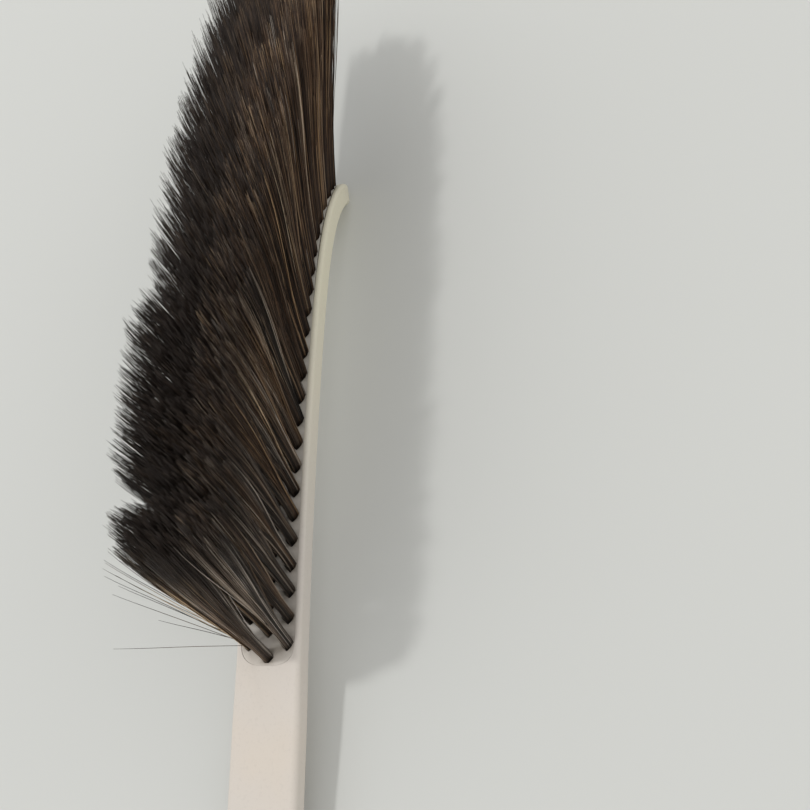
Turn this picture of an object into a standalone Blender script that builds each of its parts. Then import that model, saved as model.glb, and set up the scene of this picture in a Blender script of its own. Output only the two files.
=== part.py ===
"""A long-handled bed brush: a moulded body, an inset tuft plate and rows of bristle tufts.

Each piece is drawn on a straight brush first. There s runs along the brush, from the
first outer tufts towards the tip, y runs across it, and n stands out of the bristle face.
bend() then curls the head backwards. Last, the whole brush is laid on its back on the
ground with its bristles up, resting on the handle's end and on the back of the tip.

Lengths are in metres and angles in degrees.
"""
import math

import bmesh
import bpy
from mathutils import Matrix, Vector

# Tuft field
TUFT_PITCH = 0.0085
OUTER_TUFT_COUNT = 24
TIP_CROWDING = 0.0068
TIP_CROWDING_POWER = 8
ROW_SPACING = 0.0070
TUFT_DIAMETER = 0.0038
TUFT_BORDER = 0.0006
FIELD_LENGTH = TUFT_PITCH * (OUTER_TUFT_COUNT - 1) - TIP_CROWDING
HALF_PITCH = TUFT_PITCH / 2
TIP_TUFT_REACH = 0.0036

# Bristles
BRISTLE_LENGTH = 0.068
TIP_BRISTLE_LENGTH = 0.094
BRISTLE_LENGTH_POWER = 4
ROOT_LENGTH = 0.013
STRAND_SPREAD_ALONG = 0.0030
STRAND_SPREAD_ACROSS = 0.0054
STRAND_WAIST_SHARE = 0.52
WAIST_SPREAD_SHARE = 0.40
WAIST_THICKNESS_SHARE = 0.66
STRAND_LENGTH_SHARES = (1.0, 0.93, 0.98, 0.90, 0.96, 0.92)
STRANDS_PER_TUFT = len(STRAND_LENGTH_SHARES)

# Lean of the tufts from the handle's own normal, and the outer rows' lean sideways
FIRST_LEAN_DEGREES = 17
TIP_LEAN_DEGREES = 68
LEAN_POWER = 2
SIDE_SPLAY_DEGREES = 9.5

# Curl of the head: a long gentle bend and a tight one at the tip
LONG_BEND_DEGREES = 7.5
TIP_BEND_DEGREES = 46
TIP_BEND_POWER = 8
BEND_SAMPLES = 240

# Fits
FIT_GAP = 0.0003
CUT_OVERRUN = 0.002

# Tuft plate, the slices that the tufts stand on, and the pocket that holds both
PLATE_THICKNESS = 0.0020
SLICE_THICKNESS = 0.0008
FACE_RECESS = 0.0002
PLATE_START_ROUND = 0.0090
PLATE_TAPER_LENGTH = 0.034
HEAD_NARROWING = 0.0008
SLICE_TOP = -FACE_RECESS
SLICE_BOTTOM = SLICE_TOP - SLICE_THICKNESS
PLATE_TOP = SLICE_BOTTOM - FIT_GAP
PLATE_BOTTOM = PLATE_TOP - PLATE_THICKNESS
POCKET_FLOOR = PLATE_BOTTOM - FIT_GAP
PLATE_HALF_WIDTH = ROW_SPACING + TUFT_DIAMETER / 2 + TUFT_BORDER
PLATE_START = -(HALF_PITCH + TUFT_DIAMETER / 2 + TUFT_BORDER)
PLATE_END = FIELD_LENGTH + TIP_TUFT_REACH + TUFT_DIAMETER / 2 + TUFT_BORDER

# Body
BODY_THICKNESS = 0.0082
RIM_WIDTH = 0.0019
TIP_RIM_WIDTH = 0.0072
TIP_TAPER_LENGTH = 0.027
EDGE_RADIUS = 0.0018
EDGE_SEGMENTS = 3
EDGE_PROFILE_SHARE = 0.5
HANDLE_LENGTH = 0.152
HANDLE_WIDTH = 0.0245
HANDLE_END_ROUND = 0.0135
NECK_LENGTH = 0.030
END_ROUNDING_POWER = 3.0
END_POINTS = 9
HEAD_HALF_WIDTH = PLATE_HALF_WIDTH + FIT_GAP + RIM_WIDTH
TIP_END = PLATE_END + FIT_GAP + TIP_RIM_WIDTH

# Hanging slot in the handle's end
HANG_SLOT_LENGTH = 0.016
HANG_SLOT_WIDTH = 0.0075
HANG_SLOT_INSET = 0.009
HANG_SLOT_POINTS = 8

SMOOTH_DEGREES = 32

# Colours, in linear red, green and blue
CREAM = (0.66, 0.60, 0.53)
PLATE_CREAM = (0.56, 0.50, 0.43)
BRISTLE_BROWN = (0.036, 0.025, 0.019)


def clear_objects():
    for old in list(bpy.data.objects):
        bpy.data.objects.remove(old, do_unlink=True)


def make_material(name, colour, roughness):
    material = bpy.data.materials.new(name)
    material.use_nodes = True
    shader = material.node_tree.nodes["Principled BSDF"]
    shader.inputs["Base Color"].default_value = (*colour, 1.0)
    shader.inputs["Roughness"].default_value = roughness
    shader.inputs["Metallic"].default_value = 0.0
    material.diffuse_color = (*colour, 1.0)
    return material


def bend_angle(s):
    """Angle of the spine below the handle's line, in radians, at s along the brush."""
    share = max(s, 0.0) / FIELD_LENGTH
    return math.radians(LONG_BEND_DEGREES * share + TIP_BEND_DEGREES * share**TIP_BEND_POWER)


def make_spine():
    """Sampled places of the bristle face's centre line over the curled head."""
    step = TIP_END / BEND_SAMPLES
    places = [(0.0, 0.0)]
    for index in range(BEND_SAMPLES):
        angle = bend_angle((index + 0.5) * step)
        x, z = places[-1]
        places.append((x + step * math.cos(angle), z - step * math.sin(angle)))
    return step, places


SPINE_STEP, SPINE = make_spine()


def bend(s, y, n):
    """Place of a point of the straight brush on the curled one."""
    if s <= 0.0:
        return Vector((s, y, n))
    index = min(int(s / SPINE_STEP), BEND_SAMPLES - 1)
    share = s / SPINE_STEP - index
    (x0, z0), (x1, z1) = SPINE[index], SPINE[index + 1]
    angle = bend_angle(s)
    x = x0 + (x1 - x0) * share + n * math.sin(angle)
    z = z0 + (z1 - z0) * share + n * math.cos(angle)
    return Vector((x, y, z))


def row_s(row):
    """Place of a row's outer tufts. Rows stand closer together towards the tip."""
    share = row / (OUTER_TUFT_COUNT - 1)
    return row * TUFT_PITCH - TIP_CROWDING * share**TIP_CROWDING_POWER


def middle_s(row):
    """Place of a row's middle tuft, half way back to the row before."""
    if row == 0:
        return -HALF_PITCH
    return (row_s(row - 1) + row_s(row)) / 2


def bend_stations():
    """Places along the head where its faces are cut, closer together towards the tip."""
    stations = [index * TUFT_PITCH for index in range(OUTER_TUFT_COUNT + 1)]
    tight_start = 2 * FIELD_LENGTH / 3
    stations += [s + HALF_PITCH for s in stations if s > tight_start]
    return [s for s in sorted(stations) if s < TIP_END]


def narrowing(s):
    """How much less the head's half width is at s than at its start."""
    return HEAD_NARROWING * min(max(s / FIELD_LENGTH, 0.0), 1.0)


def side_points(start, start_round, end, end_round, half_width):
    """Edge points on the +y side of a long shape whose two ends are rounded.

    half_width gives the half width at s before the rounding.
    """
    points = []
    power = 2 / END_ROUNDING_POWER
    for index in range(END_POINTS + 1):
        angle = math.radians(90) * index / END_POINTS
        s = start + start_round * (1 - math.cos(angle)**power)
        points.append((s, half_width(s) * math.sin(angle)**power))
    for index in range(END_POINTS + 1):
        angle = math.radians(90) * (1 - index / END_POINTS)
        s = end - end_round * (1 - math.cos(angle)**power)
        points.append((s, half_width(s) * math.sin(angle)**power))
    points[0] = (start, 0.0)
    points[-1] = (end, 0.0)
    return points


def closed_outline(side):
    """The whole outline from its +y side, whose first and last points lie on y = 0."""
    return side + [(s, -y) for s, y in reversed(side[1:-1])]


def prism(outline, bottom, top):
    """A straight-sided solid over a plan outline, between two heights."""
    solid = bmesh.new()
    floor = solid.faces.new([solid.verts.new((s, y, bottom)) for s, y in outline])
    lifted = bmesh.ops.extrude_face_region(solid, geom=[floor])
    raised = [item for item in lifted["geom"] if isinstance(item, bmesh.types.BMVert)]
    bmesh.ops.translate(solid, verts=raised, vec=(0.0, 0.0, top - bottom))
    bmesh.ops.recalc_face_normals(solid, faces=solid.faces)
    return solid


def curl(solid):
    """Cuts a straight solid across at the bend stations and bends it with the head."""
    for s in bend_stations():
        everything = solid.verts[:] + solid.edges[:] + solid.faces[:]
        bmesh.ops.bisect_plane(
            solid, geom=everything, plane_co=(s, 0.0, 0.0), plane_no=(1.0, 0.0, 0.0)
        )
    bmesh.ops.triangulate(solid, faces=solid.faces[:])
    for vert in solid.verts:
        vert.co = bend(*vert.co)
    return solid


def finish_object(name, solid, material, carrier):
    """Turns a bmesh into a named, smooth-shaded object that hangs on the carrier empty."""
    mesh = bpy.data.meshes.new(name)
    solid.to_mesh(mesh)
    solid.free()
    mesh.shade_smooth()
    mesh.set_sharp_from_angle(angle=math.radians(SMOOTH_DEGREES))
    mesh.materials.append(material)
    made = bpy.data.objects.new(name, mesh)
    bpy.context.collection.objects.link(made)
    made.parent = carrier
    return made


def combine(base, tools, operation):
    """The first bmesh with each of the tools cut from it or joined to it."""
    meshes = []
    objects = []
    for solid in (base, *tools):
        mesh = bpy.data.meshes.new("work")
        solid.to_mesh(mesh)
        solid.free()
        made = bpy.data.objects.new("work", mesh)
        bpy.context.collection.objects.link(made)
        meshes.append(mesh)
        objects.append(made)
    for tool in objects[1:]:
        step = objects[0].modifiers.new("step", "BOOLEAN")
        step.operation = operation
        step.solver = "EXACT"
        step.object = tool
    result = bmesh.new()
    result.from_object(objects[0], bpy.context.evaluated_depsgraph_get())
    for made in objects:
        bpy.data.objects.remove(made, do_unlink=True)
    for mesh in meshes:
        bpy.data.meshes.remove(mesh)
    return result


def body_half_width(s):
    """Half width of the body before its ends are rounded: the handle runs into the head."""
    share = min(max((s + NECK_LENGTH) / NECK_LENGTH, 0.0), 1.0)
    return HANDLE_WIDTH / 2 + (HEAD_HALF_WIDTH - HANDLE_WIDTH / 2) * share - narrowing(s)


def plate_side(clearance):
    """The +y edge of the tuft plate, let out by a clearance all round."""
    return side_points(
        PLATE_START - clearance,
        PLATE_START_ROUND,
        PLATE_END + clearance,
        PLATE_TAPER_LENGTH,
        lambda s: PLATE_HALF_WIDTH + clearance - narrowing(s),
    )


def hang_slot():
    """Cutter for the slot that the brush hangs by, round at both ends."""
    radius = HANG_SLOT_WIDTH / 2
    near_centre = -HANDLE_LENGTH + HANG_SLOT_INSET + radius
    far_centre = near_centre + HANG_SLOT_LENGTH - HANG_SLOT_WIDTH
    outline = []
    for centre, first in ((far_centre, -90), (near_centre, 90)):
        for index in range(HANG_SLOT_POINTS + 1):
            angle = math.radians(first + 180 * index / HANG_SLOT_POINTS)
            outline.append((centre + radius * math.cos(angle), radius * math.sin(angle)))
    return prism(outline, -BODY_THICKNESS - CUT_OVERRUN, CUT_OVERRUN)


def make_body(material, carrier):
    """Handle and head in one moulding, with the pocket for the tuft plate."""
    side = side_points(
        -HANDLE_LENGTH, HANDLE_END_ROUND, TIP_END, TIP_TAPER_LENGTH, body_half_width
    )
    neck = [(s, body_half_width(s)) for s in (-NECK_LENGTH, 0.0)]
    side = sorted(side + neck)
    solid = prism(closed_outline(side), -BODY_THICKNESS, 0.0)
    rim = [edge for edge in solid.edges if edge.verts[0].co.z == edge.verts[1].co.z]
    bmesh.ops.bevel(
        solid,
        geom=rim,
        offset=EDGE_RADIUS,
        segments=EDGE_SEGMENTS,
        profile=EDGE_PROFILE_SHARE,
        affect="EDGES",
        clamp_overlap=True,
    )
    pocket = prism(closed_outline(plate_side(FIT_GAP)), POCKET_FLOOR, CUT_OVERRUN)
    solid = combine(solid, [pocket, hang_slot()], "DIFFERENCE")
    return finish_object("brush_body", curl(solid), material, carrier)


def make_plate(material, carrier):
    """The inset plate that carries the tufts."""
    solid = prism(closed_outline(plate_side(0.0)), PLATE_BOTTOM, PLATE_TOP)
    return finish_object("tuft_plate", curl(solid), material, carrier)


def edge_at(side, s):
    """Half width of a shape at s, read from its +y edge points."""
    for (s0, y0), (s1, y1) in zip(side, side[1:]):
        if s0 <= s <= s1:
            return y0 + (y1 - y0) * (s - s0) / (s1 - s0)
    return 0.0


def outer_tuft_y(s):
    """Distance of the outer tufts from the centre line, closer together at the tip."""
    return edge_at(PLATE_SIDE, s) - TUFT_DIAMETER / 2 - TUFT_BORDER


PLATE_SIDE = plate_side(0.0)


def row_tufts(row):
    """Roots of one row's tufts as (s, y): two outer ones and a staggered middle one."""
    s = row_s(row)
    y = min(outer_tuft_y(s), ROW_SPACING)
    tufts = [(s, -y), (middle_s(row), 0.0), (s, y)]
    if row == OUTER_TUFT_COUNT - 1:
        tufts.append((s + TIP_TUFT_REACH, 0.0))
    return tufts


def row_border(row, shift):
    """The V-shaped line between a row's slice and the one before, as (s, y) from -y to +y."""
    s_outer = middle_s(row) + shift
    s_middle = (middle_s(row - 1) + middle_s(row)) / 2 + shift
    y_outer = min(outer_tuft_y(s_outer), ROW_SPACING)
    slope = (s_outer - s_middle) / y_outer
    s_edge = s_outer
    y_edge = edge_at(PLATE_SIDE, s_edge)
    for _ in range(END_POINTS):
        s_edge = s_outer + slope * (y_edge - y_outer)
        y_edge = edge_at(PLATE_SIDE, s_edge)
    return [(s_edge, -y_edge), (s_middle, 0.0), (s_edge, y_edge)]


def slice_outline(row):
    """Plan outline of the slice of backing that one row of tufts stands on."""
    first = row == 0
    last = row == OUTER_TUFT_COUNT - 1
    back = [(PLATE_START, 0.0)] if first else row_border(row, FIT_GAP / 2)
    front = [(PLATE_END, 0.0)] if last else row_border(row + 1, -FIT_GAP / 2)
    s_back, s_front = back[-1][0], front[-1][0]
    side = [(s, y) for s, y in PLATE_SIDE if s_back < s < s_front]
    return back + side + front[::-1] + [(s, -y) for s, y in reversed(side)]


def strand_length(s):
    """Bristle length at s: even over most of the head and longer at the tip."""
    share = min(max(s / FIELD_LENGTH, 0.0), 1.0)
    grown = TIP_BRISTLE_LENGTH - BRISTLE_LENGTH
    return BRISTLE_LENGTH + grown * share**BRISTLE_LENGTH_POWER


def tuft_axes(s, y):
    """Along, across and outward directions of a tuft rooted at s and y."""
    share = min(max(s / FIELD_LENGTH, 0.0), 1.0)
    added_lean = (TIP_LEAN_DEGREES - FIRST_LEAN_DEGREES) * share**LEAN_POWER
    lean = math.radians(FIRST_LEAN_DEGREES + added_lean)
    splay = math.radians(SIDE_SPLAY_DEGREES * y / ROW_SPACING)
    along = Vector((math.cos(lean), 0.0, -math.sin(lean)))
    upright = Vector((math.sin(lean), 0.0, math.cos(lean)))
    sideways = Vector((0.0, 1.0, 0.0))
    outward = upright * math.cos(splay) + sideways * math.sin(splay)
    across = sideways * math.cos(splay) - upright * math.sin(splay)
    return along, across, outward


def make_tuft(s, y):
    """One tuft: a dense root that splits into tapering strands of three sides."""
    along, across, outward = tuft_axes(s, y)
    radius = TUFT_DIAMETER / 2
    base = bend(s, y, SLICE_TOP - SLICE_THICKNESS / 2)
    split = base + outward * ROOT_LENGTH
    reach = strand_length(s) - ROOT_LENGTH
    turn = math.radians(360) / STRANDS_PER_TUFT
    rim = [
        along * radius * math.cos(index * turn) + across * radius * math.sin(index * turn)
        for index in range(STRANDS_PER_TUFT)
    ]
    normal = Vector((math.sin(bend_angle(s)), 0.0, math.cos(bend_angle(s))))
    tuft = bmesh.new()
    foot = []
    for corner in rim:
        drop = outward * (corner.dot(normal) / outward.dot(normal))
        foot.append(tuft.verts.new(base + corner - drop))
    top = [tuft.verts.new(split + corner) for corner in rim]
    heart = tuft.verts.new(split)
    tuft.faces.new(list(reversed(foot)))
    for index, length_share in enumerate(STRAND_LENGTH_SHARES):
        after = (index + 1) % STRANDS_PER_TUFT
        tuft.faces.new([foot[index], foot[after], top[after], top[index]])
        sector = [heart, top[index], top[after]]
        centre = (rim[index] + rim[after]) / 3
        middle = (index + 0.5) * turn
        spread_along = along * STRAND_SPREAD_ALONG * math.cos(middle)
        spread = spread_along + across * STRAND_SPREAD_ACROSS * math.sin(middle)
        strand = outward * reach * length_share
        waist = split + strand * STRAND_WAIST_SHARE + centre.lerp(spread, WAIST_SPREAD_SHARE)
        corners = [-centre, rim[index] - centre, rim[after] - centre]
        ring = [tuft.verts.new(waist + corner * WAIST_THICKNESS_SHARE) for corner in corners]
        end = tuft.verts.new(split + strand + spread)
        for here, there in ((0, 1), (1, 2), (2, 0)):
            tuft.faces.new([sector[here], sector[there], ring[there], ring[here]])
            tuft.faces.new([ring[here], ring[there], end])
    bmesh.ops.triangulate(tuft, faces=tuft.faces[:])
    bmesh.ops.recalc_face_normals(tuft, faces=tuft.faces)
    return tuft


def make_row(row, material, carrier):
    """One row of tufts, fused to its slice of the backing."""
    backing = curl(prism(slice_outline(row), SLICE_BOTTOM, SLICE_TOP))
    tufts = [make_tuft(*root) for root in row_tufts(row)]
    solid = combine(backing, tufts, "UNION")
    bmesh.ops.triangulate(solid, faces=solid.faces[:])
    return finish_object(f"tuft_row_{row + 1:02d}", solid, material, carrier)


def lay_on_back(carrier, body):
    """Turns and lifts the brush so that it rests on the handle's end and on its tip."""
    points = [vert.co for vert in body.data.vertices]
    handle = [point for point in points if point.x < 0.0]
    head = [point for point in points if point.x > FIELD_LENGTH / 2]
    tilt = min(
        max(math.atan2(heel.z - tip.z, tip.x - heel.x) for tip in head) for heel in handle
    )
    turn = Matrix.Rotation(-tilt, 3, "Y")
    low = min((turn @ p).z for p in points)
    pieces = [child for child in carrier.children if child.type == "MESH"]
    reach = [(turn @ vert.co).x for piece in pieces for vert in piece.data.vertices]
    carrier.rotation_euler = (0.0, -tilt, 0.0)
    carrier.location = (-(min(reach) + max(reach)) / 2, 0.0, -low)


def build():
    clear_objects()
    carrier = bpy.data.objects.new("brush_frame", None)
    bpy.context.collection.objects.link(carrier)
    body = make_body(make_material("body_cream", CREAM, 0.42), carrier)
    make_plate(make_material("plate_cream", PLATE_CREAM, 0.5), carrier)
    for row in range(OUTER_TUFT_COUNT):
        material = make_material(f"bristle_brown_{row + 1:02d}", BRISTLE_BROWN, 0.6)
        make_row(row, material, carrier)
    lay_on_back(carrier, body)
    bpy.context.view_layer.update()


build()
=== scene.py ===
"""Looks of a long-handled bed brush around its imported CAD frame.

The moulded body and the tuft plate are drawn straight, as (s, y, n): s along the brush,
y across it and n out of the bristle face. bend() curls them and lay() puts them in the
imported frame. Each row of tufts is one piece of about a thousand tapered hairs.

Lengths are in metres. Named angles are in degrees, but for those marked as radians.
"""
import math

import bmesh
import bpy
import numpy as np
from mathutils import Euler, Matrix, Vector
from mathutils.geometry import delaunay_2d_cdt


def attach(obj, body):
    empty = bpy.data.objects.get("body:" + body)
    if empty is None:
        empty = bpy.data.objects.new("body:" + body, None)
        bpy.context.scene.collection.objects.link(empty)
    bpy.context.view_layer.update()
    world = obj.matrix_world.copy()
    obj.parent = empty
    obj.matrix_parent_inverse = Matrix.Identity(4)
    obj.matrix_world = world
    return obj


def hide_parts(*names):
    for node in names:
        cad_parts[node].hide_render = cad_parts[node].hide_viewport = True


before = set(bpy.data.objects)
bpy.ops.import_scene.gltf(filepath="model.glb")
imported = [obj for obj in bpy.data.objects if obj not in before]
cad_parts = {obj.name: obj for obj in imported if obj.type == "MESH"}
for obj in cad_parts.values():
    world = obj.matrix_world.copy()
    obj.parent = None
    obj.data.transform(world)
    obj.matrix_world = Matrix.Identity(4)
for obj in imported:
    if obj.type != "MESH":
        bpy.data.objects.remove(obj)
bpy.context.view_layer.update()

# The brush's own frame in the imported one: how it lies on its back
BRUSH_PLACE = (-0.0599062, 0.0, 0.0228336)
BRUSH_TILT = 5.60611
BRUSH = Matrix.Translation(BRUSH_PLACE) @ Matrix.Rotation(math.radians(-BRUSH_TILT), 4, "Y")

# The camera in the brush's own frame
CAMERA_PLACE = (-0.0204297, -0.1553, 0.2998376)
CAMERA_TURNS = (17.24477, 19.66834, -89.4988)
CAMERA_LENS = 44.11
CAMERA_SENSOR_WIDTH = 36
CAMERA_CLIP_START = 0.01

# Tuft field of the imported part
TUFT_PITCH = 0.0085
ROW_COUNT = 24
TIP_CROWDING = 0.0068
TIP_CROWDING_POWER = 8
ROW_SPACING = 0.0070
TUFT_RADIUS = 0.0019
TUFT_BORDER = 0.0006
TIP_TUFT_REACH = 0.0036
FIELD_LENGTH = TUFT_PITCH * (ROW_COUNT - 1) - TIP_CROWDING
FIRST_LEAN = 17
TIP_LEAN = 68
LEAN_POWER = 2
BRISTLE_LENGTH = 0.068
TIP_BRISTLE_LENGTH = 0.094
BRISTLE_LENGTH_POWER = 4

# Curl of the head
LONG_BEND = 7.5
TIP_BEND = 46
TIP_BEND_POWER = 8
SPINE_SAMPLES = 480

# Tuft plate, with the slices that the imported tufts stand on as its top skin
FIT_GAP = 0.0003
HEAD_NARROWING = 0.0008
PLATE_HALF_WIDTH = ROW_SPACING + TUFT_RADIUS + TUFT_BORDER
PLATE_START = -(TUFT_PITCH / 2 + TUFT_RADIUS + TUFT_BORDER)
PLATE_END = FIELD_LENGTH + TIP_TUFT_REACH + TUFT_RADIUS + TUFT_BORDER
PLATE_START_ROUND = 0.0090
PLATE_TAPER_LENGTH = 0.034
PLATE_TOP = -0.0002
PLATE_BOTTOM = -0.0033
POCKET_FLOOR = PLATE_BOTTOM - FIT_GAP
PLATE_END_POINTS = 50
PLATE_POINT_STEP = 0.0012

# Body
BODY_THICKNESS = 0.0082
RIM_WIDTH = 0.0019
TIP_RIM_WIDTH = 0.0072
TIP_END = PLATE_END + FIT_GAP + TIP_RIM_WIDTH
TIP_TAPER_LENGTH = 0.027
HANDLE_LENGTH = 0.152
HANDLE_WIDTH = 0.0245
HANDLE_END_ROUND = 0.0135
NECK_LENGTH = 0.030
HEAD_HALF_WIDTH = PLATE_HALF_WIDTH + FIT_GAP + RIM_WIDTH
END_ROUNDING_POWER = 3.0
BODY_END_POINTS = 60
BODY_POINT_STEP = 0.0011
HANDLE_EDGE_RADIUS = 0.0022
HEAD_EDGE_RADIUS = 0.0016
EDGE_STEPS = 7

# Hanging slot
SLOT_RADIUS = 0.00375
SLOT_LENGTH = 0.016
SLOT_INSET = 0.009
SLOT_NEAR = -HANDLE_LENGTH + SLOT_INSET + SLOT_RADIUS
SLOT_FAR = -HANDLE_LENGTH + SLOT_INSET + SLOT_LENGTH - SLOT_RADIUS
SLOT_END_POINTS = 17
SLOT_LIP = 0.0009
SLOT_LIP_STEPS = 5

# Joint between plate and rim: a hairline at the handle's end, open round the tight curl
JOINT_GAP_S = (0.10, 0.15)
JOINT_GAPS = (0.00001, 0.00037)
JOINT_BEVEL_S = (0.12, 0.16)
JOINT_BEVELS = (0.00003, 0.00025)
BEVEL_MIDDLE_SHARE = 0.4
FLUSH_S = (-0.0068, -0.0008)

# Holes that the tufts stand in: how far each ring stands out from the tuft, and its depth
HOLE_RINGS = ((0.00022, 0.0), (0.00012, 0.00008), (0.00007, 0.00030), (0.00005, 0.0013))
HOLE_POINTS = 32
HOLE_BORDER = 0.00040
HOLE_CLEARANCE_SHARE = 1.06
HOLE_SHRINK_SHARE = 0.97
HOLE_SHRINK_STEPS = 12
SQUARE_REACH_SHARE = 0.90
SQUARE_POWER = 8

# Places where the moulded pieces are cut across before they are bent
LONG_STATION_STEP = 0.0025
CURL_START = 0.14
CURL_STATION_STEP = 0.0011
STATIONS = [index * LONG_STATION_STEP for index in range(round(CURL_START / LONG_STATION_STEP))]
STATIONS += [
    CURL_START + index * CURL_STATION_STEP
    for index in range(math.ceil((TIP_END - CURL_START) / CURL_STATION_STEP))
]
STATION_SNAP = 1e-7
POINT_CROWDING = 0.099
FILL_SNAP = 1e-9
SHARP_ANGLE = 40

# Colours, in linear red, green and blue
CREAM = (0.635, 0.580, 0.518)
AGED_CREAM = (0.711, 0.670, 0.520)
PLATE_CREAM = (0.60, 0.55, 0.49)
AGED_PLATE = (0.64, 0.61, 0.54)
# Grime and painted shade of the plate, round and in its holes and down its sides
GRIME_AND_SHADE = (0.42, 0.39, 0.34)
# Painted shade over the bristles' tips
TIP_SHADE_BROWN = (0.019, 0.013, 0.010)
FLOOR_GREY = (0.618, 0.623, 0.595)
GREY_STRANDS = (
    (0.0, (0.015, 0.012, 0.010)),
    (0.40, (0.070, 0.056, 0.046)),
    (0.60, (0.230, 0.190, 0.158)),
    (0.80, (0.520, 0.455, 0.390)),
    (1.0, (0.780, 0.710, 0.630)),
)
BROWN_STRANDS = (
    (0.0, (0.020, 0.012, 0.008)),
    (0.40, (0.088, 0.049, 0.028)),
    (0.60, (0.275, 0.162, 0.088)),
    (0.80, (0.620, 0.395, 0.205)),
    (1.0, (0.860, 0.640, 0.400)),
)
# Painted shade at the bristles' feet, as share of the length and shade
FOOT_SHADES = ((0.0, 0.40), (0.05, 0.60), (0.18, 0.86), (0.40, 1.0))

# Noises of the materials: waves to the metre, and detail
CLOUDS = (28.0, 4.0)
SPECKS = (900.0, 2.0)
GLOSS = (90.0, 5.0)
GRAIN = (1800.0, 3.0)
SWELL = (60.0, 1.0)
PATCHES = (170.0, 3.0)
FLOOR_CLOUDS = (3.0, 3.0)

# Finish of the plastic and of the bristles
WARM_TINT = (1.015, 0.995, 0.965)
COOL_TINT = (0.965, 0.975, 0.985)
SPECK_SHADE = 0.93
SPECK_SHARE = 0.6
AGING_X = (-0.03, 0.07)
GLOSS_RANGE = (0.3, 0.7)
GLOSS_SWING = 0.07
BODY_ROUGHNESS = 0.40
PLATE_ROUGHNESS = 0.46
PLASTIC_SPECULAR = 0.45
GRAIN_BUMP = (0.10, 0.0002)
SWELL_BUMP = (0.12, 0.0012)
# Grime and painted shade round the tufts' holes, as share and reach
HOLE_GRIME_AND_SHADE = ((0.45, 0.0004), (0.42, 0.0012))
# Painted shade down the plate's sides and in its holes, by depth below its face, fading out
# towards the handle's end
SIDE_SHADE_DEPTH = 0.0002
SIDE_SHADE_S = 0.03
PATCH_SHADE = 0.74
PATCH_SHARE = 0.8
# Painted shade over the hairs' tips: where along them it rises, and how far
TIP_SHADE_RANGE = (0.60, 0.86)
TIP_SHADE_SHARE = 0.92
BRISTLE_ROUGHNESS = (0.38, 0.54)
BRISTLE_SPECULAR = 0.30

# Hairs: their number, and the shares of the length at which they have a ring
SEED = 20
HAIRS_PER_TUFT = 340
LOCKS_PER_TUFT = 40
HAIR_RINGS = np.array([0.0, 0.06, 0.14, 0.24, 0.35, 0.47, 0.59, 0.71, 0.82, 0.92, 1.0])
HAIR_SIDES = 3
HAIR_RADIUS = 0.000115
TIP_THINNING = 0.55
TIP_THINNING_POWER = 4
ROOT_DEPTH = 0.0010
# In radians: a whole turn, and the one from each root of a tuft to the next
FULL_TURN = 2 * math.pi
GOLDEN_TURN = 2.39996

# Along the head: how far the tips bow over and their share of the length
CALM_S = (-0.004, 0.0, 0.016, 0.030, 0.070, 0.102, 0.14, 0.17, 0.19)
CALM_LEAN = (7.0, 6.5, 1.0, -1.5, -1.5, 0.0, 0.0, 0.0, 0.0)
CALM_LENGTH = (0.98, 1.0, 1.0, 1.02, 1.03, 0.98, 1.0, 1.05, 1.10)
# What the two partings of the far row add to that, and how far a tuft's hairs differ in them
PART_S = (0.012, 0.0205, 0.0220, 0.029, 0.070, 0.0785, 0.0815, 0.093, 0.102)
PART_LEAN = (0.0, -3.2, 3.4, 0.0, 0.0, -1.6, 3.2, 0.8, 0.0)
PART_LENGTH = (0.0, -0.06, -0.06, 0.0, 0.0, 0.0, -0.06, -0.01, 0.0)
PARTING_REACH = 0.0042
# Sideways splay at the root and at the tip, as a turn of all rows and a fan of the outer ones
SPLAY_S = (0.0, 0.010, 0.05, 0.10, 0.19)
ROOT_TURN = (-2.2, -2.9, -2.7, -1.5, -1.0)
ROOT_FAN = (7.7, 9.1, 9.3, 8.5, 6.4)
TIP_TURN = (3.2, 2.9, 3.0, 2.3, -0.6)
TIP_FAN = (4.2, 5.5, 6.1, 6.3, 6.2)
# How far a tuft's outermost tips stand from its middle line, along and across
SPREAD_ALONG = (0.0038, 0.0041, 0.0050, 0.0058, 0.0072)
SPREAD_ACROSS = (0.0052, 0.0056, 0.0060, 0.0062, 0.0060)

# Loose hairs: tuft, lean, sideways lean and share of the length
LOOSE_HAIRS = (
    (2, -4, 14.0, 0.92),
    (2, 7, 14.5, 0.62),
    (2, 11, 14.5, 0.95),
    (2, 13, 14.0, 0.90),
    (2, 14.5, 14.5, 1.02),
    (2, 15.5, 14.0, 0.95),
    (2, 16, 14.5, 1.05),
    (2, 17, 13.5, 1.00),
    (2, 18, 14.0, 1.04),
    (2, 19, 13.5, 1.00),
    (17, 22, 14.5, 1.12),
    (20, 24, 13.5, 1.10),
    (5, 17, 14.0, 1.04),
)
FIRST_LOOSE_HAIR = 40
LOOSE_HAIR_STEP = 17

# Scatter of the tufts and hairs: lean and splay in degrees, roots as shares of the radius
TUFT_LEAN_SCATTER = 0.5
TUFT_SPLAY_SCATTER = 0.4
ROOT_SCATTER = 0.03
TIP_SCATTER = 0.0004
STRAY_ABOVE = 0.97
STRAY_SCATTER = 0.0011

# Locks of hairs, and wider crowds of them, as many as there are tufts
LOCK_PULL = 0.24
CROWD_PULL = 0.04
LOCK_LENGTH_SCATTER = 0.022
CROWD_LENGTH_SCATTER = 0.012
LENGTH_SHARES = (0.90, 1.05)
LOCK_EDGE_SHORTENING = 0.055
RAGGED_SHORTENING = 0.05

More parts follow.
